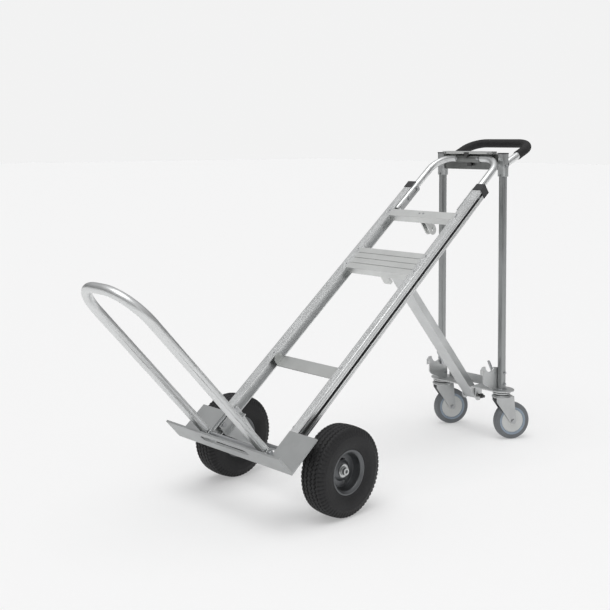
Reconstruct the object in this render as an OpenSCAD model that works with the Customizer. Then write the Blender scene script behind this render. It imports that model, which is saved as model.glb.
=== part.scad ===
// Convertible hand truck standing in its leaning four-wheel position.
// Row frame: +X from the toe plate to the casters, +Y to the left, +Z up, floor at z = 0.

/* [Wheels] */
// Diameter of the two main wheels
wheel_d = 254; // [240:1:266]
// Width of the main tyres
tyre_w = 84; // [76:1:86]
// Distance between the middle planes of the main wheels
track = 470; // [464:1:480]
// Diameter of the axle
axle_d = 16; // [14:1:18]
// Diameter of the caster wheels
caster_d = 130; // [124:1:130]
// Width of the caster wheels
caster_w = 29; // [26:1:30]

/* [Main frame] */
// Angle of the rails above the floor
rail_tilt = 37.5; // [37:0.1:38]
// Width of one rail across the truck
rail_w = 32; // [31:1:34]
// Depth of one rail from front face to rear face
rail_h = 35; // [34:1:36]
// Distance from the middle of the truck to the inner face of a rail
rail_in = 135; // [134:1:136]
// Distance from the axle to the rear face of the rails
rail_off = 114; // [113:1:115]
// Upper end of the rails, measured along them from the axle
rail_top = 1085; // [1075:1:1090]
// Middle of the straight tube at the top of the rail loop, measured along the rails
loop_top = 1248; // [1246:1:1250]
// Diameter of the rail loop tube
loop_d = 25; // [24:0.5:26]

/* [Toe] */
// Half width of the toe plate
toe_half = 248; // [240:1:250]
// Depth of the toe plate's lip
lip_depth = 67; // [60:1:70]
// Thickness of the toe plate
toe_t = 6; // [5:0.5:7]
// Length of the folding toe loop from its pivot
toe_loop_len = 662; // [600:1:670]
// Distance from the middle of the truck to a leg of the toe loop
toe_loop_half = 126; // [122:1:128]
// Diameter of the toe loop tube
toe_loop_d = 28; // [26:1:29]

/* [Handle unit] */
// Distance from the axle to the posts along the floor
post_x = 929; // [928:1:931]
// Distance from the middle of the truck to a post
post_y = 133; // [132:1:134]
// Side of a post
post_a = 23; // [22:1:24]
// Height of the top of the posts
post_top = 1010; // [1005:1:1014]
// Rise of the handle above level
handle_rise = 22.5; // [15:0.5:30]
// Reach of the handle from the sleeves
handle_len = 192; // [150:1:200]
// Length of the strut between its pivot and its seat
strut_len = 664; // [655:1:666]

/* [Casters] */
// Distance from the swivel axis to the wheel axis
trail = 37; // [30:1:40]
// Angle that the casters have turned about their swivels
caster_yaw = -30; // [-60:1:60]

/* [Hidden] */
$fn = 64;
eps = 0.01;

// Finishes
aluminium = [0.78, 0.79, 0.80];
zinc = [0.66, 0.69, 0.72];
steel = [0.55, 0.57, 0.58];
rubber = [0.10, 0.10, 0.10];
plastic = [0.13, 0.13, 0.13];
grey_rubber = [0.33, 0.34, 0.34];

// Main wheel and axle height
wheel_r = wheel_d / 2;
rim_r = 60;
axle_z = wheel_r;
running_gap = 0.05;

// Rail section
rail_wall = 3;
rail_bottom = -104;
rail_front = rail_off + rail_h;
rail_mid = rail_off + rail_h / 2;
rail_wall_gap = 0.7;
web_in = 16.5;
web_t = 3;
slot_w = 10;
slot_depth = 9;

// Rail loop
loop_r = loop_d / 2;
loop_o = rail_front - rail_wall - rail_wall_gap - loop_r;
loop_half = 138;
loop_bend = 70;
loop_start = 950;

// Ground line seen from the leaning rails, and the toe plate
lean = 5.5;
lip_gap = 3;
lip_x = -wheel_r + lip_gap;
wing_top = -17;
wing_in = 140;
wing_front = rail_front + toe_t;
fold_z = wing_front * cos(lean) + 138 * sin(lean);
toe_pivot_s = -108;
toe_pivot_o = 168;
toe_r = toe_loop_d / 2;
hinge_rod_r = 6;

// Pivot of the handle unit: the middle of the loop's straight tube
pivot_x = loop_top * cos(rail_tilt) - loop_o * sin(rail_tilt);
pivot_z = axle_z + loop_top * sin(rail_tilt) + loop_o * cos(rail_tilt);

// Base of the handle unit
plate_z = 172;
plate_t = 4;
post_bottom = plate_z + plate_t;
plate_r = 44;
plate_x = 934;
strut_px = 936;
strut_pz = 135;
strut_w = 50;
strut_d = 25;
strut_lean = 41.5;
clevis_gap = 1.5;
ear_t = 4;
sleeve_a = 30;
sleeve_h = 80;

// Casters
caster_r = caster_d / 2;
crown_z = 150;
crown_t = 4;
crown_r = 34;
race_r = 31;
king_r = 6;
fork_gap = 1.5;
fork_t = 3;
fork_out = caster_w / 2 + fork_gap + fork_t;

// Handle
handle_r = 12.5;
grip_r = 16;
handle_x = 942;
handle_z = 973;
handle_bend = 63;
grip_from = 80;

// The whole truck is moved along X so that the origin lies under the middle of its box
toe_tip_x = -(lip_reach_x() + toe_r);
handle_tip_x = handle_x + handle_len * cos(handle_rise) + grip_r;
shift_x = -(handle_tip_x - toe_tip_x) / 2 - toe_tip_x;

function lip_reach_x() =
    -(toe_pivot_s * cos(rail_tilt) - toe_pivot_o * sin(rail_tilt))
    + toe_loop_len * sin(rail_tilt + lean);

// ---------- placing ----------

// Row coordinates with the axle above x = 0
module in_row() {
    translate([shift_x, 0, 0]) children();
}

// Rail coordinates: X up along the rails, Z out of their front face, origin on the axle
module on_rails() {
    in_row() translate([0, 0, axle_z]) rotate([0, -rail_tilt, 0]) children();
}

// Toe coordinates: as the rails, turned so that Z runs along the lip
module on_toe() {
    on_rails() rotate([0, -lean, 0]) children();
}

module both_sides() {
    for (side = [1, -1])
        scale_y(side) children();
}

// Mirrors across the middle plane for side = -1
module scale_y(side) {
    if (side > 0) children();
    else mirror([0, 1, 0]) children();
}

// Extrudes a (y, z) outline along X
module along_x(len) {
    rotate([90, 0, 90]) linear_extrude(len) children();
}

// Extrudes an (x, z) outline along Y from y0 to y1
module along_y(y0, y1) {
    translate([0, y1, 0]) rotate([90, 0, 0]) linear_extrude(y1 - y0) children();
}

module rod_y(r, y0, y1) {
    translate([0, y1, 0]) rotate([90, 0, 0]) cylinder(r = r, h = y1 - y0);
}

module ring(ro, ri) {
    difference() {
        circle(ro);
        circle(ri);
    }
}

// Rounded rectangle made of true arcs
module arc_rect(w, h, r) {
    union() {
        square([w - 2 * r, h], center = true);
        square([w, h - 2 * r], center = true);
        for (x = [-1, 1], y = [-1, 1])
            translate([x * (w / 2 - r), y * (h / 2 - r)]) circle(r);
    }
}

// U-shaped tube: two legs along X at y = +-half, two bends and a straight top at x = len
module tube_loop(half, len, bend, ro, ri, start = 0) {
    for (side = [1, -1])
        scale_y(side) {
            translate([start, half, 0]) rotate([0, 90, 0])
                linear_extrude(len - bend - start) ring(ro, ri);
            translate([len - bend, half - bend, 0])
                rotate_extrude(angle = 90) translate([bend, 0]) ring(ro, ri);
        }
    translate([len, half - bend, 0]) rotate([90, 0, 0])
        linear_extrude(2 * (half - bend)) ring(ro, ri);
}

// ---------- main frame ----------

// Section of the left rail: inner channel for the loop, outer slot, two hollow chambers
module rail_section() {
    translate([rail_in, rail_off]) difference() {
        square([rail_w, rail_h]);
        translate([-1, rail_wall]) square([web_in + 1, rail_h - 2 * rail_wall]);
        translate([rail_w - slot_depth, (rail_h - slot_w) / 2]) square([slot_depth + 1, slot_w]);
        for (z = [rail_wall, rail_h - rail_wall - 6])
            translate([web_in + web_t, z]) square([rail_w - web_in - 2 * web_t, 6]);
        for (y = [6, 12, 18, 24])
            translate([y, rail_h - 0.8]) square([1.2, 1]);
        for (z = [5.5, rail_h - 7.5])
            translate([rail_w - 1.2, z]) square([2, 2]);
    }
}

module rail(side) {
    color(aluminium) on_rails() scale_y(side)
        translate([rail_bottom, 0, 0]) along_x(rail_top - rail_bottom) rail_section();
}

module rail_caps() {
    cap_h = 32;
    cap_lap = 28;
    skin = 1.5;
    color(plastic) on_rails() both_sides()
        difference() {
            translate([rail_top - cap_lap, rail_in - 1, rail_off - skin])
                cube([cap_h, rail_w + 1 + skin, rail_h + 2 * skin]);
            translate([rail_top - cap_lap - 1, rail_in - 2, rail_off])
                cube([cap_lap + 1, rail_w + 2, rail_h]);
            translate([rail_top - 1, loop_half, loop_o]) rotate([0, 90, 0])
                cylinder(r = loop_r + 0.5, h = cap_h);
            translate([rail_top - 1, rail_in - 5, loop_o - loop_r - 0.5])
                cube([cap_h, loop_half - rail_in + 5, 2 * loop_r + 1]);
        }
}

module rail_loop() {
    color(aluminium) on_rails() translate([0, 0, loop_o])
        tube_loop(loop_half, loop_top, loop_bend, loop_r, loop_r - 2.2, loop_start);
}

strap_s = [1013, 1070];
strap_y = loop_half - loop_r;

module loop_straps() {
    color(zinc) on_rails() both_sides()
        difference() {
            along_y(strap_y - 3, strap_y) union() {
                translate([960, rail_mid - 11]) square([strap_s[1] - 960, 22]);
                translate([strap_s[1], rail_mid]) circle(11);
            }
            for (s = strap_s)
                translate([s, 0, rail_mid]) rod_y(3.2, strap_y - 4, strap_y + 1);
        }
}

module loop_strap_bolts() {
    color(steel) on_rails() both_sides()
        for (s = strap_s) translate([s, 0, rail_mid]) {
            rod_y(3.2, strap_y - 3, strap_y);
            rod_y(6.5, strap_y - 8, strap_y - 3);
        }
}

module top_crossbar() {
    color(aluminium) on_rails() {
        translate([902, -rail_in, rail_front - 3.5]) cube([34, 2 * rail_in, 3.5]);
        translate([902, -rail_in, rail_front - 26]) cube([3.5, 2 * rail_in, 26]);
    }
}

keeper_out = 12;
keeper_s = 926;
keeper_low = 72;

// Folded bracket that takes the strut's open end: two rounded ears and a web between them
module strut_keeper() {
    top = rail_front - 7.5;
    color(zinc) on_rails() {
        difference() {
            union() {
                for (side = [1, -1]) scale_y(side)
                    along_y(keeper_out - 4, keeper_out) union() {
                        translate([keeper_s - 17, keeper_low]) square([34, top - keeper_low]);
                        translate([keeper_s, keeper_low]) circle(17);
                    }
                translate([keeper_s - 17, -keeper_out, top]) cube([27, 2 * keeper_out, 4]);
                translate([keeper_s + 8, 1 - keeper_out, keeper_low - 8])
                    cube([4, 2 * keeper_out - 2, top - keeper_low + 10]);
            }
            translate([keeper_s, 0, keeper_low]) rod_y(4.5, -40, 40);
        }
    }
}

deck_s = [632, 732];

module deck_plate() {
    strips = 4;
    pitch = (deck_s[1] - deck_s[0]) / strips;
    color(aluminium) on_rails() difference() {
        union() {
            translate([deck_s[0], -rail_in, rail_front - 5])
                cube([deck_s[1] - deck_s[0], 2 * rail_in, 5]);
            translate([deck_s[0], -rail_in, rail_front - 26]) cube([4, 2 * rail_in, 26]);
            for (s = [deck_s[0], deck_s[1] - 30], side = [1, -1])
                scale_y(side) translate([s, rail_in, rail_front - 6.5])
                    cube([30, 14, 3.5]);
        }
        for (i = [1 : strips - 1])
            translate([deck_s[0] + i * pitch - 1.5, -rail_in - 1, rail_front - 1.5])
                cube([3, 2 * rail_in + 2, 3]);
        for (s = [deck_s[0], deck_s[1] - 30], side = [1, -1])
            scale_y(side) translate([s - 1, rail_in - eps, rail_front - rail_wall])
                cube([32, 20, 10]);
    }
}

tab_s = 656;
tab_y = 10;

module deck_tab() {
    half = 17;
    low = 66;
    color(zinc) on_rails() {
        translate([tab_s, tab_y, 0]) along_x(4)
            polygon([[-half, rail_front - 5], [-half, low + 4], [4 - half, low],
                     [half - 4, low], [half, low + 4], [half, rail_front - 5]]);
        translate([tab_s, tab_y - half, low + 4]) cube([9, 3, rail_front - 9 - low]);
    }
}

seat_s = 700;
seat_gap = 1.5;

module strut_seat() {
    in_y = strut_w / 2 + seat_gap;
    web_s = seat_s - strut_d / 2 - 1;
    color(zinc) on_rails() {
        for (side = [1, -1]) scale_y(side)
            along_y(in_y, in_y + ear_t)
                polygon([[web_s - 4, 92], [web_s - 4, rail_front - 5], [726, rail_front - 5],
                         [726, 118], [706, 92]]);
        translate([web_s - 4, -in_y, 92]) cube([4, 2 * in_y, rail_front - 5 - 92]);
    }
}

bar_s = [207, 250];

module lower_crossbar() {
    end_z = rail_off + rail_wall;
    color(aluminium) on_rails() {
        translate([bar_s[0], -rail_in, end_z])
            cube([bar_s[1] - bar_s[0], 2 * rail_in, 3]);
        for (side = [1, -1]) scale_y(side)
            translate([0, rail_in - 3, 0]) rotate([90, 0, 0]) mirror([0, 0, 1])
                linear_extrude(3) union() {
                    translate([bar_s[0] + 3, end_z]) square([34, 20]);
                    translate([bar_s[0] + 20, end_z + 14]) circle(17);
                }
    }
}

rivet_y = 147;
rivet_s = [232, 650, 724, 918, 928];

module frame_rivets() {
    color(steel) on_rails() both_sides()
        for (s = rivet_s)
            translate([s, rivet_y, rail_front]) cylinder(r1 = 3.6, r2 = 2.4, h = 1.4);
    color(steel) on_rails()
        for (y = [-8, 8])
            translate([922, y, rail_front]) cylinder(r1 = 4.2, r2 = 2.8, h = 1.8);
}

// ---------- toe ----------

module toe_plate() {
    slot_half = 92;
    slot_r = 11;
    slot_z = fold_z + 38;
    color(aluminium) difference() {
        union() {
            on_toe() translate([lip_x, -toe_half, fold_z - toe_t])
                cube([toe_t, 2 * toe_half, lip_depth + toe_t]);
            on_rails() both_sides()
                translate([-137, wing_in, rail_front])
                    cube([wing_top + 137, toe_half - wing_in, toe_t]);
            on_rails() translate([-137, -toe_half, rail_front])
                cube([10, 2 * toe_half, toe_t]);
        }
        on_toe() translate([lip_x - 1, 0, slot_z]) rotate([0, 90, 0])
            linear_extrude(toe_t + 2) {
                square([2 * slot_r, 2 * slot_half], center = true);
                for (y = [-1, 1]) translate([0, y * slot_half]) circle(slot_r);
            }
    }
}

module hinge_ears() {
    inner = toe_loop_half - toe_r - 1.5;
    outer = toe_loop_half + toe_r + 1.5;
    foot = lip_x + toe_t;
    base_z = fold_z - 2;
    pivot_x_toe = toe_pivot_s * cos(lean) + toe_pivot_o * sin(lean);
    pivot_z_toe = -toe_pivot_s * sin(lean) + toe_pivot_o * cos(lean);
    color(zinc) on_toe() both_sides()
        for (y = [inner - ear_t, outer])
            difference() {
                along_y(y, y + ear_t) union() {
                    translate([foot, base_z + 2])
                        square([pivot_x_toe - foot, 24]);
                    translate([pivot_x_toe, base_z + 14]) circle(12);
                }
                translate([pivot_x_toe, 0, pivot_z_toe])
                    rod_y(hinge_rod_r, y - 1, y + ear_t + 1);
            }
}

module hinge_rod() {
    end = toe_loop_half + toe_r + 1.5 + ear_t;
    color(steel) on_rails() translate([toe_pivot_s, 0, toe_pivot_o]) {
        rod_y(hinge_rod_r, -end, end);
        for (side = [1, -1]) scale_y(side) {
            rod_y(9, end, end + 2);
            rod_y(7.5, end + 2, end + 6);
        }
    }
}

// The toe loop lies along the lip at rest
module on_toe_loop() {
    on_rails() translate([toe_pivot_s, 0, toe_pivot_o]) rotate([0, -90 - lean, 0]) children();
}

module toe_loop() {
    color(aluminium) on_toe_loop() difference() {
        tube_loop(toe_loop_half, toe_loop_len, 108, toe_r, toe_r - 2.2, -15);
        rod_y(hinge_rod_r + 2, -150, 150);
    }
}

module toe_loop_bushes() {
    color(plastic) on_toe_loop() both_sides()
        difference() {
            rod_y(hinge_rod_r + 2, toe_loop_half - toe_r - 1, toe_loop_half + toe_r + 1);
            rod_y(hinge_rod_r + running_gap, 0, 200);
        }
}

// ---------- axle and main wheels ----------

module at_axle() {
    in_row() translate([0, 0, axle_z]) children();
}

axle_end = track / 2 + 18;

module axle() {
    color(steel) at_axle() rod_y(axle_d / 2, -axle_end, axle_end);
}

bracket_t = 5;
bracket_y = rail_in - bracket_t;
bracket_bolt_s = [-52, 6];
bracket_bolt_o = rail_front - 13;

// Plates on the rails' inner faces that carry the axle
module axle_brackets() {
    color(zinc) on_rails() both_sides()
        difference() {
            union() {
                along_y(bracket_y, bracket_y + bracket_t) union() {
                    circle(17);
                    polygon([[-17, 0], [17, 0], [20, rail_off - 6], [20, rail_front - 5],
                             [-66, rail_front - 5], [-66, rail_off - 6]]);
                }
                translate([-66, bracket_y - 12, rail_off - 10]) cube([86, 12, 4]);
            }
            rod_y(axle_d / 2, bracket_y - 1, bracket_y + bracket_t + 1);
            for (s = bracket_bolt_s)
                translate([s, 0, bracket_bolt_o]) rod_y(4, bracket_y - 1, rail_in + 1);
        }
}

module bracket_bolts() {
    color(steel) on_rails() both_sides()
        for (s = bracket_bolt_s) translate([s, 0, bracket_bolt_o]) {
            rod_y(4, bracket_y, rail_in);
            rod_y(7, bracket_y - 4, bracket_y);
        }
}

hub_in = 34;
hub_out = 12;

module axle_spacers() {
    color(zinc) at_axle() both_sides()
        difference() {
            union() {
                rod_y(12, bracket_y + bracket_t, track / 2 - hub_in - 3.3);
                rod_y(15, track / 2 - hub_in - 3.3, track / 2 - hub_in - 0.3);
            }
            rod_y(axle_d / 2, 0, 300);
        }
}

module axle_caps() {
    color(zinc) at_axle() both_sides()
        difference() {
            union() {
                rod_y(13, track / 2 + hub_out + 0.3, track / 2 + hub_out + 2.3);
                rod_y(10.5, track / 2 + hub_out + 2.3, axle_end + 5);
            }
            rod_y(axle_d / 2, 0, axle_end);
            rod_y(5, 0, axle_end + 6);
        }
}

module at_wheel(side) {
    at_axle() scale_y(side) translate([0, track / 2, 0]) rotate([90, 0, 0]) children();
}

// Outline of half of the tyre section, from the bead to the crown: (radius, half width)
module tyre_outline() {
    crown = wheel_r;
    hw = tyre_w / 2;
    bead_r = rim_r - 4;
    difference() {
        union() {
            polygon([[bead_r, -26], [rim_r + 3, -30], [rim_r + 3, -33], [rim_r + 7, -35],
                     [88, -hw + 1], [104, -hw], [118, -hw + 5], [crown - 3, -hw + 14],
                     [crown, -20], [crown, 20], [crown - 3, hw - 14], [118, hw - 5], [104, hw],
                     [88, hw - 1], [rim_r + 7, 35], [rim_r + 3, 33], [rim_r + 3, 30],
                     [bead_r, 26]]);
        }
        polygon([[bead_r - 1, -20], [bead_r + 6, -24], [86, -33], [106, -32], [114, -22],
                 [114, 22], [106, 32], [86, 33], [bead_r + 6, 24], [bead_r - 1, 20]]);
        for (x = [-19, -6.5, 6.5, 19])
            translate([crown - 3.5, x - 1.6]) square([5, 3.2]);
    }
}

module tyre(side) {
    color(rubber) at_wheel(side) rotate_extrude($fn = 96) tyre_outline();
}

// Steel rim: flanges, barrel, disc and hub seat as one closed section, with a hole for the valve
module rim(side) {
    color(steel) at_wheel(side) difference() {
        rotate_extrude() polygon([
            [rim_r + 3, -33], [rim_r + 3, -30], [rim_r - 4, -26], [rim_r - 6, -12],
            [rim_r - 6, 12], [rim_r - 4, 26], [rim_r + 3, 30], [rim_r + 3, 33],
            [rim_r - 1, 33], [rim_r - 8, 27], [rim_r - 10, 14], [rim_r - 13, 4], [30, 4],
            [21, 10], [14, 10], [14, -9], [21, -9], [30, -3], [rim_r - 13, -3],
            [rim_r - 10, -14], [rim_r - 8, -27], [rim_r - 1, -33]]);
        translate([12, -35, -8]) cylinder(r = 6.5, h = 16);
    }
}

module hub(side) {
    color(zinc) at_wheel(side) difference() {
        union() {
            translate([0, 0, -hub_out]) cylinder(r = 14, h = hub_out + hub_in);
            translate([0, 0, -hub_out + 0.1]) cylinder(r = 18, h = 2.8);
        }
        translate([0, 0, -hub_out - 1])
            cylinder(r = axle_d / 2 + running_gap, h = hub_out + hub_in + 2);
    }
}

// ---------- handle unit ----------

module post(side) {
    color(aluminium) in_row() scale_y(side)
        translate([post_x, post_y, post_bottom])
            difference() {
                linear_extrude(post_top - post_bottom) difference() {
                    arc_rect(post_a, post_a, 6);
                    arc_rect(post_a - 4.4, post_a - 4.4, 4);
                }
                for (z = post_bolt_z)
                    translate([2, 0, z - post_bottom]) rod_y(3.5, -post_a, post_a);
            }
}

module sleeves() {
    color(aluminium) in_row() both_sides()
        translate([post_x, post_y, post_top - sleeve_h]) difference() {
            linear_extrude(sleeve_h) difference() {
                arc_rect(sleeve_a, sleeve_a, 6);
                arc_rect(post_a, post_a, 6);
            }
            translate([-20, -4, -1]) cube([10, 8, 9]);
        }
}

module post_caps() {
    color(plastic) in_row() both_sides()
        translate([post_x, post_y, post_top]) linear_extrude(3.5)
            arc_rect(sleeve_a + 2, sleeve_a + 2, 6);
}

channel_y = post_y - sleeve_a / 2;
web_x = pivot_x + loop_r + 1.5;
hood_x = pivot_x - loop_r - 4;
hood_z = pivot_z + loop_r + 10;
hood_y = 108;

module top_channel() {
    color(zinc) in_row() difference() {
        union() {
            translate([web_x, -channel_y, post_top - 57]) cube([4, 2 * channel_y, 57]);
            translate([web_x, -hood_y, post_top - 10]) cube([4, 2 * hood_y, hood_z + 4 - post_top + 10]);
            translate([hood_x, -hood_y, hood_z]) cube([web_x - hood_x + 4, 2 * hood_y, 4]);
            translate([hood_x, -90, hood_z - 6]) cube([3, 180, 7]);
            for (side = [1, -1]) scale_y(side)
                along_y(hood_y - 4, hood_y)
                    polygon([[web_x, hood_z], [hood_x + 8, hood_z], [web_x, pivot_z - 2]]);
        }
        translate([web_x - 1, 0, latch_z]) rotate([0, 90, 0]) cylinder(r = latch_r, h = 6);
    }
}

clamp_y = 46;
clamp_half = 51;
clamp_gap = 0.4;

// Saddle that holds the rail loop against the channel and lets the handle unit turn on it
module tube_saddle() {
    ri = loop_r + clamp_gap;
    ro = ri + 2;
    color(zinc) in_row() translate([pivot_x, 0, pivot_z]) difference() {
        union() {
            rod_y(ro, -clamp_half, clamp_half);
            translate([0, -clamp_half, -ro])
                cube([web_x - pivot_x, 2 * clamp_half, 2 * ro]);
        }
        rod_y(ri, -clamp_half - 1, clamp_half + 1);
        translate([web_x - pivot_x, -clamp_half - 1, -2 * ro])
            cube([ro, 2 * clamp_half + 2, 4 * ro]);
    }
}

module channel_bolts() {
    color(steel) in_row() for (y = [-clamp_y, clamp_y])
        translate([pivot_x, y, pivot_z]) {
            translate([-loop_r - clamp_gap - 2, 0, 0]) rotate([0, -90, 0])
                cylinder(r1 = 5.5, r2 = 4, h = 3.5);
            translate([web_x - pivot_x + 4, 0, 0]) rotate([0, 90, 0])
                cylinder(r = 6.5, h = 5, $fn = 6);
        }
}

latch_z = pivot_z - 21.5;
latch_r = 6;

module latch_button() {
    color(zinc) in_row() translate([web_x, 0, latch_z]) rotate([0, 90, 0]) {
        translate([0, 0, -14]) cylinder(r = latch_r - running_gap, h = 27);
        translate([0, 0, -14]) linear_extrude(4) arc_rect(12, 18, 3);
        translate([0, 0, 13]) cylinder(r = 8, h = 2.5);
    }
}

module on_handle() {
    in_row() translate([handle_x, 0, handle_z]) rotate([0, -handle_rise, 0]) children();
}

module handle_tube() {
    color(aluminium) on_handle()
        tube_loop(post_y, handle_len, handle_bend, handle_r, handle_r - 2.2, 7.7);
}

module handle_grip() {
    color(rubber) on_handle()
        tube_loop(post_y, handle_len, handle_bend, grip_r, handle_r, grip_from);
}

module handle_bolts() {
    color(steel) in_row() both_sides()
        translate([post_x, post_y + sleeve_a / 2, handle_z - 6]) {
            rod_y(7, 0, 1.5);
            rod_y(5.5, 1.5, 5);
        }
}

flange_y = 116;
flange_x = 953;

module base_plate() {
    slot_to = flange_x - 1;
    color(zinc) in_row() difference() {
        union() {
            translate([plate_x - plate_r, -130, plate_z]) cube([2 * plate_r, 260, plate_t]);
            for (side = [1, -1])
                translate([plate_x, side * 130, plate_z]) cylinder(r = plate_r, h = plate_t);
            translate([flange_x, -flange_y, plate_z])
                cube([4, 2 * flange_y, plate_t + 28]);
        }
        translate([plate_x - plate_r - 1, -strut_w / 2 - 3, plate_z - 1])
            cube([slot_to - plate_x + plate_r + 1, strut_w + 6, plate_t + 2]);
        for (side = [1, -1])
            translate([post_x, side * post_y, plate_z - 1]) cylinder(r = king_r, h = plate_t + 2);
    }
}

module clevis_ears() {
    y0 = strut_w / 2 + clevis_gap;
    color(zinc) in_row() both_sides()
        difference() {
            union() {
                along_y(y0, y0 + ear_t) union() {
                    translate([strut_px - 19, strut_pz]) square([38, plate_z - strut_pz]);
                    translate([strut_px, strut_pz]) circle(19);
                }
                translate([strut_px - 19, y0, plate_z - 4]) cube([38, 18, 4]);
            }
            translate([strut_px, 0, strut_pz]) rod_y(5, y0 - 1, y0 + ear_t + 1);
        }
}

module clevis_bolt() {
    y1 = strut_w / 2 + clevis_gap + ear_t;
    color(plastic) in_row() translate([strut_px, 0, strut_pz]) {
        rod_y(5, -y1 - 24, y1);
        translate([0, -y1 - 8, 0]) rotate([90, 0, 0]) cylinder(r = 9, h = 8, $fn = 6);
        translate([0, y1 + 5, 0]) rotate([90, 0, 0]) cylinder(r = 8.5, h = 5, $fn = 6);
    }
}

// ---------- strut ----------

module strut() {
    wall = 2;
    color(aluminium) in_row() translate([strut_px, 0, strut_pz]) rotate([0, -strut_lean, 0])
        difference() {
            union() {
                translate([-strut_d / 2, -strut_w / 2, 0]) cube([strut_d, strut_w, strut_len]);
                rod_y(strut_d / 2, -strut_w / 2, strut_w / 2);
            }
            translate([-strut_d / 2 + wall, -strut_w / 2 + wall, 22])
                cube([strut_d - 2 * wall, strut_w - 2 * wall, strut_len - 24]);
            rod_y(5 + running_gap, -strut_w, strut_w);
        }
}

// ---------- hooks and their levers ----------

hook_t = 5;
hook_y = post_y - post_a / 2 - hook_t;
lever_px = 906;
lever_pz = 236;

module hook(side) {
    color(zinc) in_row() scale_y(side)
        difference() {
            along_y(hook_y, hook_y + hook_t) difference() {
                polygon([[941, post_bottom], [905, post_bottom], [846, 203], [838, 212],
                         [838, 254], [831, 254], [831, 240], [824, 240], [824, 258],
                         [834, 267], [852, 267], [941, 250]]);
                translate([876, 272]) circle(28);
            }
            translate([lever_px, 0, lever_pz]) rod_y(4, hook_y - 1, hook_y + hook_t + 1);
            for (z = post_bolt_z)
                translate([post_x + 2, 0, z]) rod_y(3.5, hook_y - 1, hook_y + hook_t + 1);
        }
}

lever_y = hook_y - 1;

module lever(side) {
    color(steel) in_row() scale_y(side) translate([lever_px, 0, lever_pz]) {
        rod_y(4 - running_gap, lever_y - 6, hook_y + hook_t - 0.5);
        along_y(lever_y - 6, lever_y) {
            circle(7);
            rotate(121) translate([0, -4]) square([50, 8]);
            rotate(121) translate([50, 0]) circle(4);
        }
    }
}

post_bolt_z = [196, 236];

module post_bolts() {
    color(steel) in_row() both_sides()
        for (z = post_bolt_z) translate([post_x + 2, 0, z]) {
            rod_y(3.5, hook_y - 4, post_y + post_a / 2 + 3.5);
            rod_y(5.5, hook_y - 4, hook_y);
            translate([0, post_y + post_a / 2, 0]) rod_y(5, 0, 3.5);
            translate([0, post_y + post_a / 2 + 3.5, 0]) rotate([-90, 0, 0])
                cylinder(r1 = 5, r2 = 2.5, h = 2.5);
        }
}

// ---------- casters ----------

module at_swivel(side) {
    in_row() translate([post_x, side * post_y, 0]) rotate([0, 0, caster_yaw]) children();
}

module at_caster_wheel(side) {
    at_swivel(side) translate([trail, 0, caster_r]) children();
}

module swivel_races() {
    color(zinc) for (side = [1, -1]) at_swivel(side) difference() {
        union() {
            translate([0, 0, 160]) cylinder(r = race_r - 6, h = 3.5);
            translate([0, 0, 163.5]) cylinder(r = race_r, h = 4);
            translate([0, 0, 167.5]) cylinder(r = race_r - 7, h = plate_z - 167.5);
        }
        translate([0, 0, 158]) cylinder(r = king_r, h = 16);
    }
}

module king_pins() {
    color(steel) for (side = [1, -1]) at_swivel(side) {
        translate([0, 0, crown_z - 5]) cylinder(r = king_r, h = plate_z + plate_t - crown_z + 5);
        translate([0, 0, crown_z - 9]) cylinder(r = 10, h = 8.7);
    }
}

// Crown, dust ring and two legs that narrow down to the wheel's axle
module fork(side) {
    leg_top = crown_z + crown_t;
    color(zinc) at_swivel(side) difference() {
        union() {
            translate([0, 0, crown_z]) cylinder(r = crown_r, h = crown_t);
            translate([0, 0, crown_z + crown_t]) cylinder(r1 = crown_r - 2, r2 = crown_r - 4, h = 4.5);
            translate([-8, -fork_out, crown_z]) cube([46, 2 * fork_out, crown_t]);
            for (y = [-fork_out, fork_out - fork_t])
                along_y(y, y + fork_t) hull() {
                    translate([-26, leg_top - 18]) square([66, 18]);
                    translate([trail, caster_r]) circle(11, $fn = 32);
                }
        }
        translate([0, 0, crown_z - 1]) cylinder(r = king_r + running_gap, h = 20);
        translate([trail, 0, caster_r]) rod_y(4, -30, 30);
    }
}

module fork_axle(side) {
    color(steel) at_caster_wheel(side) {
        rod_y(4, -fork_out - 3, fork_out + 3);
        for (s = [1, -1]) scale_y(s) rod_y(6.5, fork_out, fork_out + 4.5);
    }
}

core_r = 41;
band_r = 48;

module caster_core(side) {
    color([0.80, 0.81, 0.82]) at_caster_wheel(side) difference() {
        rotate([90, 0, 0]) rotate_extrude() polygon([
            [4 + running_gap, -caster_w / 2 - 1], [12, -caster_w / 2 - 1], [15, -caster_w / 2 + 1],
            [core_r - 3, -caster_w / 2 + 1], [core_r, -caster_w / 2 + 3],
            [core_r, caster_w / 2 - 3], [core_r - 3, caster_w / 2 - 1],
            [15, caster_w / 2 - 1], [12, caster_w / 2 + 1], [4 + running_gap, caster_w / 2 + 1]]);
    }
}

module caster_tread(side) {
    hw = caster_w / 2;
    color(grey_rubber) at_caster_wheel(side)
        rotate([90, 0, 0]) rotate_extrude($fn = 96) polygon([
            [core_r, -hw + 3], [band_r, -hw + 0.5], [band_r + 2, -hw], [caster_r - 6, -hw],
            [caster_r - 1, -hw + 5], [caster_r, -6], [caster_r, 6], [caster_r - 1, hw - 5],
            [caster_r - 6, hw], [band_r + 2, hw], [band_r, hw - 0.5], [core_r, hw - 3]]);
}

// ---------- nodes ----------

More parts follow.
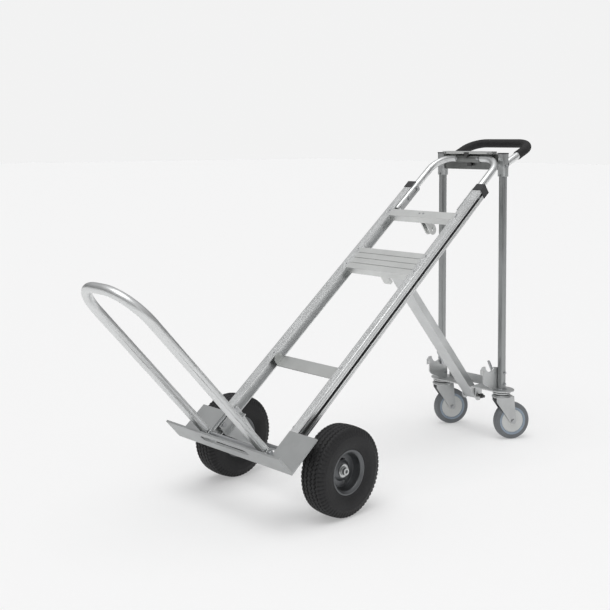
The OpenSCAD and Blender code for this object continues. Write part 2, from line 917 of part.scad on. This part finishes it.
rail(1);  // rail_left
rail(-1);  // rail_right
rail_caps();
rail_loop();
loop_straps();
loop_strap_bolts();
top_crossbar();
strut_keeper();
deck_plate();
deck_tab();
strut_seat();
lower_crossbar();
frame_rivets();
toe_plate();
axle();
axle_brackets();
bracket_bolts();
axle_spacers();
axle_caps();
hinge_ears();
hinge_rod();
toe_loop();
toe_loop_bushes();
tyre(1);  // tyre_left
rim(1);  // rim_left
hub(1);  // hub_left
tyre(-1);  // tyre_right
rim(-1);  // rim_right
hub(-1);  // hub_right
post(1);  // post_left
post(-1);  // post_right
sleeves();
post_caps();
top_channel();
tube_saddle();
channel_bolts();
handle_tube();
handle_grip();
handle_bolts();
base_plate();
clevis_ears();
clevis_bolt();
hook(1);  // hook_left
hook(-1);  // hook_right
post_bolts();
swivel_races();
king_pins();
strut();
latch_button();
lever(1);  // lever_left
lever(-1);  // lever_right
fork(1);  // fork_left
fork(-1);  // fork_right
fork_axle(1);  // fork_axle_left
fork_axle(-1);  // fork_axle_right
caster_core(1);  // caster_core_left
caster_tread(1);  // caster_tread_left
caster_core(-1);  // caster_core_right
caster_tread(-1);  // caster_tread_right
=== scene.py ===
"""Looks of the convertible hand truck: materials, tyres, fittings, floor, lights and camera."""

import math

import bmesh
import bpy
from mathutils import Matrix, Vector


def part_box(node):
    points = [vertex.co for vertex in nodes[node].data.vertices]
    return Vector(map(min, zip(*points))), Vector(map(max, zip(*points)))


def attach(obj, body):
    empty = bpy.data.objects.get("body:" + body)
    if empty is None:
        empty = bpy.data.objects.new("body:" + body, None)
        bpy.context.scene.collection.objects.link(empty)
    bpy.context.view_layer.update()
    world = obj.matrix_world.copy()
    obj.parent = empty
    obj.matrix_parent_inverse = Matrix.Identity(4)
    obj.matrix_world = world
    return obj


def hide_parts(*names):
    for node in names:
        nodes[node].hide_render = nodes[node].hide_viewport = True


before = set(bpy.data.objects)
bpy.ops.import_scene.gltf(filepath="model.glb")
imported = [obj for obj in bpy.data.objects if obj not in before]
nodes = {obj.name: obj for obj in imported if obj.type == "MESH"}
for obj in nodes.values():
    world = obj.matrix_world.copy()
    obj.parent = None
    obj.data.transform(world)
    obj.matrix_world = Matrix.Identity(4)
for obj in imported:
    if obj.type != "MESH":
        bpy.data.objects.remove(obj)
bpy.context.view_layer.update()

# ---------- sizes taken from the frame, in metres ----------

RAIL_TILT = math.radians(37.5)
STRUT_ANGLE = math.radians(131.5)
CASTER_YAW = math.radians(30)
SIDES = ((1, "left"), (-1, "right"))


def centre(node):
    low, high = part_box(node)
    return (low + high) / 2


AXLE = Vector((centre("axle").x, 0, centre("axle").z))
WHEEL_Y = centre("tyre_left").y
POST = centre("post_left")
POST_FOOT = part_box("post_left")[0].z
HOOD_LOW, HOOD_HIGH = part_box("top_channel")
# HOOD_LIP is the height above which the channel's painted top light starts
HOOD_LIP = HOOD_HIGH.z - 0.0105


def rail_point(s, o, y=0.0):
    """A point s along the rails from the axle and o in front of it."""
    along = Vector((math.cos(RAIL_TILT), 0, math.sin(RAIL_TILT)))
    out = Vector((-math.sin(RAIL_TILT), 0, math.cos(RAIL_TILT)))
    return AXLE + along * s + out * o + Vector((0, y, 0))


# ---------- materials ----------


class Nodes:
    """A material's node tree with short calls for adding and linking."""

    def __init__(self, name):
        self.material = bpy.data.materials.new(name)
        self.material.use_nodes = True
        self.tree = self.material.node_tree
        self.shader = self.tree.nodes["Principled BSDF"]

    def add(self, kind, **values):
        node = self.tree.nodes.new(kind)
        for key, value in values.items():
            if hasattr(node, key):
                setattr(node, key, value)
            else:
                node.inputs[key].default_value = value
        return node

    def link(self, source, output, target, entry):
        self.tree.links.new(source.outputs[output], target.inputs[entry])

    def coords(self, turn=0.0, scale=(1, 1, 1)):
        """Object coordinates turned about Y, so that X runs along the piece, and then scaled."""
        source = self.add("ShaderNodeTexCoord")
        turned = self.add("ShaderNodeMapping", Rotation=(0, turn, 0))
        scaled = self.add("ShaderNodeMapping", Scale=scale)
        self.link(source, "Object", turned, "Vector")
        self.link(turned, "Vector", scaled, "Vector")
        return scaled

    def noise(self, coords, scale, detail=4.0, rough=0.55):
        node = self.add("ShaderNodeTexNoise", Scale=scale, Detail=detail, Roughness=rough)
        self.link(coords, "Vector", node, "Vector")
        return node

    def spread(self, source, output, low, high, start=0.3, end=0.7):
        ends = {"From Min": start, "From Max": end, "To Min": low, "To Max": high}
        node = self.add("ShaderNodeMapRange", **ends)
        self.link(source, output, node, "Value")
        return node

    def tint(self, source, output, dark, light):
        ramp = self.add("ShaderNodeValToRGB")
        ramp.color_ramp.elements[0].position = 0.3
        ramp.color_ramp.elements[1].position = 0.7
        ramp.color_ramp.elements[0].color = (*dark, 1)
        ramp.color_ramp.elements[1].color = (*light, 1)
        self.link(source, output, ramp, "Fac")
        self.link(ramp, "Color", self.shader, "Base Color")
        return ramp

    def paint_top_light_above(self, ramp, shade, height):
        """Painted top light: changes from the ramp's colour to shade above that height on the piece at
        rest.
        """
        split = self.add("ShaderNodeSeparateXYZ")
        self.link(self.coords(), "Vector", split, "Vector")
        above = self.spread(split, "Z", 0.0, 1.0, height - 0.0005, height + 0.0005)
        mix = self.add("ShaderNodeMixRGB", Color2=(*shade, 1))
        self.link(above, "Result", mix, "Fac")
        self.link(ramp, "Color", mix, "Color1")
        self.link(mix, "Color", self.shader, "Base Color")

    def bump(self, source, output, strength, distance):
        node = self.add("ShaderNodeBump", Strength=strength, Distance=distance)
        self.link(source, output, node, "Height")
        previous = self.shader.inputs["Normal"]
        if previous.is_linked:
            self.tree.links.new(previous.links[0].from_socket, node.inputs["Normal"])
        self.link(node, "Normal", self.shader, "Normal")
        return node


def metal(name, shade, rough, turn=0.0, streak=0.0, grain=0.0, spots=0.06, above=None):
    """Bare or plated metal. streak is the strength of lines along the piece, grain of a rolled
    texture, and above the lighter shade painted as top light and the height that it starts at."""
    mat = Nodes(name)
    mat.shader.inputs["Metallic"].default_value = 1.0
    cloud = mat.noise(mat.coords(), 14.0, 5.0)
    dark = tuple(c * (1 - spots) for c in shade)
    light = tuple(min(1.0, c * (1 + spots)) for c in shade)
    ramp = mat.tint(cloud, "Fac", dark, light)
    # painted top light: above the given height the colour turns to the lighter shade
    if above:
        mat.paint_top_light_above(ramp, *above)
    if streak:
        lines = mat.noise(mat.coords(turn, (3.0, 420.0, 420.0)), 1.0, 2.0)
        rough_map = mat.spread(lines, "Fac", rough - streak, rough + streak)
        mat.link(rough_map, "Result", mat.shader, "Roughness")
    else:
        fine = mat.noise(mat.coords(), 90.0, 6.0)
        rough_map = mat.spread(fine, "Fac", rough - 0.02, rough + 0.03)
        mat.link(rough_map, "Result", mat.shader, "Roughness")
    if grain:
        specks = mat.noise(mat.coords(), 420.0, 3.0)
        mat.bump(specks, "Fac", grain, 0.0004)
    return mat.material


def soft(name, shade, rough, scale, depth, spots=0.25):
    """Rubber, foam or moulded plastic with a fine pebbled skin and a little dust."""
    mat = Nodes(name)
    cloud = mat.noise(mat.coords(), 22.0, 5.0)
    dark = tuple(c * (1 - spots) for c in shade)
    light = tuple(c * (1 + spots) for c in shade)
    mat.tint(cloud, "Fac", dark, light)
    fine = mat.noise(mat.coords(), scale, 3.0)
    rough_map = mat.spread(fine, "Fac", rough - 0.08, rough + 0.08)
    mat.link(rough_map, "Result", mat.shader, "Roughness")
    mat.bump(fine, "Fac", 0.35, depth)
    return mat.material


FINISH = {
    "rail": metal("Rail_extrusion", (0.70, 0.71, 0.71), 0.36, RAIL_TILT, 0.06),
    "post": metal("Post_extrusion", (0.34, 0.35, 0.35), 0.34, math.pi / 2, 0.07),
    "sleeve": metal("Sleeve_extrusion", (0.44, 0.45, 0.45), 0.34, math.pi / 2, 0.05),
    "strut": metal("Strut_tube", (0.62, 0.63, 0.63), 0.42, STRUT_ANGLE, 0.05),
    "tube": metal("Bent_tube", (0.72, 0.73, 0.73), 0.40, spots=0.04),
    "sheet": metal("Rolled_sheet", (0.68, 0.69, 0.68), 0.46, grain=0.35, spots=0.05),
    "bar": metal("Bar_sheet", (0.58, 0.59, 0.58), 0.46, grain=0.35, spots=0.05),
    "toe": metal("Toe_casting", (0.46, 0.47, 0.47), 0.48, grain=0.28, spots=0.06),
    "zinc": metal("Zinc_plate", (0.54, 0.55, 0.55), 0.36, grain=0.08, spots=0.12),
    # painted shade and painted top light: the channel's web and the tube saddle are painted dark for the
    # shadow under the hood, and the lip above HOOD_LIP is painted lighter as if lit from above
    "channel": metal("Channel_painted_shade_and_top_light", (0.21, 0.215, 0.21), 0.42, grain=0.12, spots=0.25,
                     above=((0.68, 0.69, 0.68), HOOD_LIP)),
    "bracket": metal("Bright_zinc", (0.62, 0.63, 0.63), 0.46, grain=0.10, spots=0.08),
    "dark": metal("Dark_zinc", (0.12, 0.12, 0.12), 0.45, grain=0.10, spots=0.10),
    "steel": metal("Plated_fastener", (0.46, 0.47, 0.48), 0.30, spots=0.12),
    "rim": metal("Rim_steel", (0.15, 0.155, 0.16), 0.42, grain=0.10, spots=0.10),
    "tyre": soft("Tyre_rubber", (0.013, 0.013, 0.014), 0.66, 260.0, 0.0004),
    "foam": soft("Grip_foam", (0.020, 0.020, 0.021), 0.80, 900.0, 0.0005),
    "plastic": soft("Moulded_plastic", (0.030, 0.030, 0.032), 0.45, 500.0, 0.0002),
    "core": soft("Caster_core", (0.64, 0.65, 0.64), 0.40, 300.0, 0.0001, 0.04),
    "tread": soft("Caster_tread", (0.17, 0.18, 0.19), 0.62, 400.0, 0.0002, 0.12),
    "band": soft("Caster_band", (0.30, 0.36, 0.43), 0.50, 300.0, 0.0001, 0.08),
}

NODE_FINISH = {
    "rail": ["rail_left", "rail_right"],
    "post": ["post_left", "post_right"],
    "sleeve": ["sleeves"],
    "strut": ["strut"],
    "tube": ["rail_loop", "toe_loop", "handle_tube"],
    "sheet": ["top_crossbar", "deck_plate", "deck_tab", "strut_keeper"],
    # tube_saddle, the loop tube's run under the hood, is painted dark for the hood's shadow
    "channel": ["top_channel", "tube_saddle"],
    "bracket": ["base_plate", "hook_left", "hook_right", "swivel_races", "clevis_ears"],
    "dark": ["latch_button", "clevis_bolt"],
    "bar": ["lower_crossbar"],
    "toe": ["toe_plate"],
    "zinc": [
        "loop_straps", "strut_seat", "axle_brackets", "axle_spacers", "axle_caps", "hinge_ears",
        "hub_left", "hub_right", "fork_left", "fork_right",
    ],
    "steel": [
        "loop_strap_bolts", "frame_rivets", "bracket_bolts", "axle", "hinge_rod", "channel_bolts",
        "handle_bolts", "post_bolts", "king_pins", "lever_left", "lever_right",
        "fork_axle_left", "fork_axle_right",
    ],
    "rim": ["rim_left", "rim_right"],
    "foam": ["handle_grip"],
    "plastic": ["rail_caps", "post_caps", "toe_loop_bushes"],
    "core": ["caster_core_left", "caster_core_right"],
    "tread": ["caster_tread_left", "caster_tread_right"],
}


def dress(obj, finish):
    obj.data.materials.clear()
    obj.data.materials.append(FINISH[finish])


FINE_EDGES = ("rail_left", "rail_right", "deck_plate")


def soften_edges(obj, width=0.0008):
    """Joins the imported faces and rounds the sharp edges slightly."""
    weld = obj.modifiers.new("Weld", "WELD")
    weld.merge_threshold = 0.00002
    bevel = obj.modifiers.new("Bevel", "BEVEL")
    bevel.width = width
    bevel.segments = 2
    bevel.limit_method = "ANGLE"
    bevel.angle_limit = math.radians(40)
    bevel.harden_normals = True


for finish, names in NODE_FINISH.items():
    for name in names:
        dress(nodes[name], finish)
        soften_edges(nodes[name], 0.0002 if name in FINE_EDGES else 0.0008)


# ---------- building pieces ----------


def piece(name, mesh, finish, body, smooth=True):
    mesh.update()
    obj = bpy.data.objects.new(name, mesh)
    bpy.context.scene.collection.objects.link(obj)
    mesh.materials.append(FINISH[finish])
    for polygon in mesh.polygons:
        polygon.use_smooth = smooth
    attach(obj, body)
    return obj


def solid(name, points, faces):
    """A mesh whose faces all look outwards."""
    mesh = bpy.data.meshes.new(name)
    mesh.from_pydata(points, [], faces)
    built = bmesh.new()
    built.from_mesh(mesh)
    bmesh.ops.recalc_face_normals(built, faces=built.faces)
    built.to_mesh(mesh)
    built.free()
    return mesh


def revolve(name, outline, origin, axis, count=96, shift=None):
    """A closed ring from a closed outline of (radius, along-axis) points. shift may move a point."""
    axis = axis.normalized()
    side = axis.orthogonal().normalized()
    up = axis.cross(side)
    points, faces = [], []
    size = len(outline)
    for i in range(count):
        angle = 2 * math.pi * i / count
        out = side * math.cos(angle) + up * math.sin(angle)
        for j, (radius, along) in enumerate(outline):
            if shift:
                radius = shift(radius, along, angle)
            points.append(origin + out * radius + axis * along)
            here, right = i * size + j, ((i + 1) % count) * size + j
            above, corner = i * size + (j + 1) % size, ((i + 1) % count) * size + (j + 1) % size
            faces.append((here, right, corner, above))
    return solid(name, points, faces)


def sweep(name, path, outline, closed=False):
    """A bar with the (side, up) outline along a path in the X-Z plane."""
    points, faces = [], []
    size = len(outline)
    across = Vector((0, 1, 0))
    for i, spot in enumerate(path):
        before = path[max(i - 1, 0)]
        after = path[min(i + 1, len(path) - 1)]
        run = (after - before).normalized()
        up = run.cross(across).normalized() * -1
        for a, b in outline:
            points.append(spot + across * a + up * b)
    for i in range(len(path) - 1):
        for j in range(size):
            k = (j + 1) % size
            faces.append((i * size + j, (i + 1) * size + j, (i + 1) * size + k, i * size + k))
    faces.append(tuple(range(size)))
    faces.append(tuple(reversed(range((len(path) - 1) * size, len(path) * size))))
    return solid(name, points, faces)


# ---------- tyres ----------

TYRE_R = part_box("tyre_left")[1].z - AXLE.z
TYRE_HALF = (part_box("tyre_left")[1].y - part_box("tyre_left")[0].y) / 2
CROWN_HALF = 0.034
GROOVES = (-0.0220, -0.0075, 0.0075, 0.0220)
GROOVE_HALF = 0.0023
GROOVE_DEPTH = 0.0058
ZIGZAG = 0.0030
TEETH = 64
TYRE_COUNT = 528
SHOULDER_WIDTH = 0.004
NOTCH_DEPTH = 0.0042
NOTCH_SHARE = 0.34
TREAD_BAND = 0.016
CROWN_DROP = 0.0028
CROWN_STEPS = 100
SIDEWALL = [
    (0.0562, 0.0260), (0.0632, 0.0302), (0.0632, 0.0332), (0.0660, 0.0345), (0.0690, 0.0352),
    (0.0705, 0.0362), (0.0720, 0.0368), (0.0780, 0.0400), (0.0860, 0.0417), (0.0940, TYRE_HALF),
    (0.1000, 0.0418), (0.1015, 0.0420), (0.1030, 0.0412), (0.1090, 0.0398), (0.1135, 0.0378),
    (0.1165, 0.0366), (0.1185, 0.0358), (0.1200, 0.0352), (0.1215, 0.0344), (0.1228, 0.0334),
]
INNER_WALL = [(0.0562, 0.020), (0.066, 0.026), (0.090, 0.034), (0.108, 0.030), (0.115, 0.018)]
STEM = [
    (0.0, 0.0), (0.0042, 0.0), (0.0042, 0.012), (0.0030, 0.014), (0.0030, 0.022), (0.0, 0.022),
]


def zigzag(angle):
    turn = (angle * TEETH / (2 * math.pi)) % 1.0
    return ZIGZAG * (4 * abs(turn - 0.5) - 1)


def tread_radius(radius, along, angle):
    """Cuts zigzag grooves into the crown and notches into the shoulders."""
    if radius < TYRE_R - TREAD_BAND:
        return radius
    if abs(along) < CROWN_HALF - SHOULDER_WIDTH:
        for k, groove in enumerate(GROOVES):
            offset = abs(along - groove - zigzag(angle) * (1 if k % 2 else -1))
            if offset < GROOVE_HALF:
                return radius - GROOVE_DEPTH
        return radius
    notch = (angle * TEETH / (2 * math.pi) + (0.5 if along > 0 else 0.0)) % 1.0
    return radius - (NOTCH_DEPTH if notch < NOTCH_SHARE else 0.0)


def tyre_outline():
    """Closed section: bead, sidewall with two raised rings, shoulder, crown, and the inner face."""
    crown = []
    for i in range(CROWN_STEPS + 1):
        along = CROWN_HALF * (1 - 2 * i / CROWN_STEPS) * 0.95
        crown.append((TYRE_R - CROWN_DROP * (along / CROWN_HALF) ** 2 - 0.0001, along))
    far_side = [(r, -a) for r, a in reversed(SIDEWALL)]
    inner = [(r, -a) for r, a in INNER_WALL] + INNER_WALL[::-1]
    return SIDEWALL + crown + far_side + inner


for side, name in SIDES:
    hub = Vector((AXLE.x, side * WHEEL_Y, AXLE.z))
    mesh = revolve(f"tyre_mesh_{name}", tyre_outline(), hub, Vector((0, 1, 0)), TYRE_COUNT, tread_radius)
    tyre = piece(f"tyre_{name}_tread", mesh, "tyre", f"wheel_{name}")
    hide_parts(f"tyre_{name}")
    foot = hub + Vector((-0.012, side * 0.006, 0.035))
    mesh = revolve(f"valve_mesh_{name}", STEM, foot, Vector((-0.10, side, 0.25)), 24)
    piece(f"valve_{name}", mesh, "plastic", f"wheel_{name}")

# ---------- caster bands ----------

# The band's sides stand slightly proud of the 14.3 mm half width that BAND is drawn at
BAND_STRETCH = 0.0145 / 0.0143
BAND = ((0.0405, 0.0112), (0.0415, 0.0128), (0.0440, 0.0140), (0.0475, 0.0143), (0.0490, 0.0138),
        (0.0490, 0.0100), (0.0405, 0.0100))

for name in ("left", "right"):
    hub = centre(f"caster_core_{name}")
    axis = Vector((math.sin(CASTER_YAW), math.cos(CASTER_YAW), 0))
    for face in (1, -1):
        outline = [(r, face * a * BAND_STRETCH) for r, a in BAND]
        mesh = revolve(f"band_mesh_{name}", outline, hub, axis, 96)
        side = "outer" if face > 0 else "inner"
        piece(f"caster_band_{name}_{side}", mesh, "band", f"caster_wheel_{name}")

# ---------- black strips for the painted shade in the rails' outer slots ---

# painted shade: a thin black strip along each rail's outer slot stands in for the shadow in the slot's
# recess
SLOT_SHADE = [(-0.0012, -0.0042), (0.0008, -0.0037), (0.0012, 0.0), (0.0008, 0.0037), (-0.0012, 0.0042)]
SLOT_SHADE_START = -0.10
SLOT_SHADE_LENGTH = 1.14
SLOT_SHADE_HEIGHT = 0.1318
SLOT_SHADE_STEPS = 12
SLOT_SHADE_Y = centre("rail_left").y + 0.0085

for side, name in SIDES:
    path = [
        rail_point(SLOT_SHADE_START + SLOT_SHADE_LENGTH * i / SLOT_SHADE_STEPS, SLOT_SHADE_HEIGHT, side * SLOT_SHADE_Y)
        for i in range(SLOT_SHADE_STEPS + 1)
    ]
    outline = [(side * a, b) for a, b in SLOT_SHADE]
    mesh = sweep(f"slot_shade_mesh_{name}", path, outline)
    piece(f"slot_shade_strip_{name}", mesh, "plastic", "frame")

# ---------- weld beads round the posts' feet ----------


def bead(name, middle, half, body, radius=0.0022):
    """A rippled weld round a square foot."""
    points, faces = [], []
    count, ring = 96, 8
    for i in range(count):
        angle = 2 * math.pi * i / count
        reach = half / max(abs(math.cos(angle)), abs(math.sin(angle))) ** 0.85
        spot = middle + Vector((math.cos(angle) * reach, math.sin(angle) * reach, 0))
        size = radius * (1 + 0.18 * math.sin(angle * 30))
        out = Vector((math.cos(angle), math.sin(angle), 0))
        for j in range(ring):
            turn = 2 * math.pi * j / ring
            rise = Vector((0, 0, size * math.sin(turn)))
            points.append(spot + out * size * math.cos(turn) + rise)
            a, b = i * ring + j, ((i + 1) % count) * ring + j
            c, d = ((i + 1) % count) * ring + (j + 1) % ring, i * ring + (j + 1) % ring
            faces.append((a, b, c, d))
    return piece(name, solid(name, points, faces), "steel", body)


for side, name in SIDES:
    foot = Vector((POST.x, side * POST.y, POST_FOOT + 0.0012))
    bead(f"weld_post_{name}", foot, 0.0122, "handle_unit")

# ---------- latch tab on the hood's front lip ----------

TAB_THICKNESS = 0.0014
TAB_X = HOOD_LOW.x - TAB_THICKNESS
TAB_TOP = HOOD_HIGH.z - 0.0040
TAB = [
    (-0.011, 0.0), (0.011, 0.0), (0.011, -0.004), (0.002, -0.019), (-0.002, -0.019), (-0.011, -0.004),
]

points = [(x, y, TAB_TOP + z) for x in (TAB_X, TAB_X + TAB_THICKNESS) for y, z in TAB]
size = len(TAB)
faces = [tuple(range(size)), tuple(reversed(range(size, 2 * size)))]
faces += [(j, (j + 1) % size, size + (j + 1) % size, size + j) for j in range(size)]
piece("latch_tab", solid("latch_tab_mesh", points, faces), "dark", "handle_unit", smooth=False)

# ---------- floor, lights and camera ----------


def make_floor():
    mesh = bpy.data.meshes.new("floor")
    size = 40.0
    corners = [(-size, -size, 0), (size, -size, 0), (size, size, 0), (-size, size, 0)]
    mesh.from_pydata(corners, [], [(0, 1, 2, 3)])
    obj = bpy.data.objects.new("floor", mesh)
    bpy.context.scene.collection.objects.link(obj)
    mat = Nodes("Studio_floor")
    finish = {
        "Base Color": (0.64, 0.64, 0.64, 1),
        "Emission Color": (1, 1, 1, 1),
        "Emission Strength": 0.34,
        "Roughness": 0.9,
        "Specular IOR Level": 0.1,
    }
    for key, value in finish.items():
        mat.shader.inputs[key].default_value = value
    mesh.materials.append(mat.material)


def make_world():
    """A pale backdrop for the camera, and for the metal a bright ceiling over a grey horizon."""
    world = bpy.data.worlds.new("Studio")
    bpy.context.scene.world = world
    world.use_nodes = True
    tree = world.node_tree
    tree.nodes.clear()
    coords = tree.nodes.new("ShaderNodeTexCoord")
    split = tree.nodes.new("ShaderNodeSeparateXYZ")
    ramp = tree.nodes.new("ShaderNodeValToRGB")
    levels = ((0.0, 0.16), (0.16, 0.18), (0.40, 0.36), (0.72, 0.62), (1.0, 0.55))
    ramp.color_ramp.elements[0].position = levels[0][0]
    ramp.color_ramp.elements[1].position = levels[-1][0]
    for position, _ in levels[1:-1]:
        ramp.color_ramp.elements.new(position)
    for element, (_, level) in zip(ramp.color_ramp.elements, levels):
        element.color = (level, level, level * 1.005, 1)
    studio = tree.nodes.new("ShaderNodeBackground")
    backdrop = tree.nodes.new("ShaderNodeBackground")
    backdrop.inputs["Color"].default_value = (0.89, 0.89, 0.89, 1)
    path = tree.nodes.new("ShaderNodeLightPath")
    mix = tree.nodes.new("ShaderNodeMixShader")
    out = tree.nodes.new("ShaderNodeOutputWorld")
    tree.links.new(coords.outputs["Generated"], split.inputs["Vector"])
    tree.links.new(split.outputs["Z"], ramp.inputs["Fac"])
    tree.links.new(ramp.outputs["Color"], studio.inputs["Color"])
    tree.links.new(path.outputs["Is Camera Ray"], mix.inputs["Fac"])
    tree.links.new(studio.outputs["Background"], mix.inputs[1])
    tree.links.new(backdrop.outputs["Background"], mix.inputs[2])
    tree.links.new(mix.outputs["Shader"], out.inputs["Surface"])


def sun(name, direction, spread, strength):
    """A broad even light from that direction, with soft shadows."""
    data = bpy.data.lights.new(name, "SUN")
    data.angle = math.radians(spread)
    data.energy = strength
    obj = bpy.data.objects.new(name, data)
    obj.rotation_mode = "QUATERNION"
    obj.rotation_quaternion = Vector(direction).to_track_quat("Z", "Y")
    bpy.context.scene.collection.objects.link(obj)


def area_light(name, place, target, size, power):
    data = bpy.data.lights.new(name, "AREA")
    data.shape = "RECTANGLE"
    data.size, data.size_y = size
    data.energy = power
    obj = bpy.data.objects.new(name, data)
    obj.location = place
    obj.rotation_mode = "QUATERNION"
    obj.rotation_quaternion = (Vector(target) - Vector(place)).to_track_quat("-Z", "Y")
    bpy.context.scene.collection.objects.link(obj)


def make_camera():
    """The reference viewpoint: ahead of the toe plate, to the right, and just over 1 m up."""
    data = bpy.data.cameras.new("camera")
    data.sensor_width = 36.0
    data.lens = 58.59
    data.shift_y = -0.2358
    data.clip_end = 200.0
    obj = bpy.data.objects.new("camera", data)
    obj.location = (-2.2517, -2.1567, 1.0531)
    turn = Matrix.Rotation(math.radians(-44.17), 4, "Z")
    tip = Matrix.Rotation(math.radians(90 - 1.16), 4, "X")
    roll = Matrix.Rotation(math.radians(0.17), 4, "Z")
    obj.rotation_mode = "QUATERNION"
    obj.rotation_quaternion = (turn @ tip @ roll).to_quaternion()
    bpy.context.scene.collection.objects.link(obj)
    bpy.context.scene.camera = obj


make_floor()
make_world()
sun("key", (-0.25, -0.10, 1.0), 45.0, 1.30)
area_light("fill", (-1.6, -3.2, 1.6), (0.1, 0, 0.5), (1.2, 1.8), 4.0)
make_camera()
bpy.context.scene.view_settings.view_transform = "Standard"
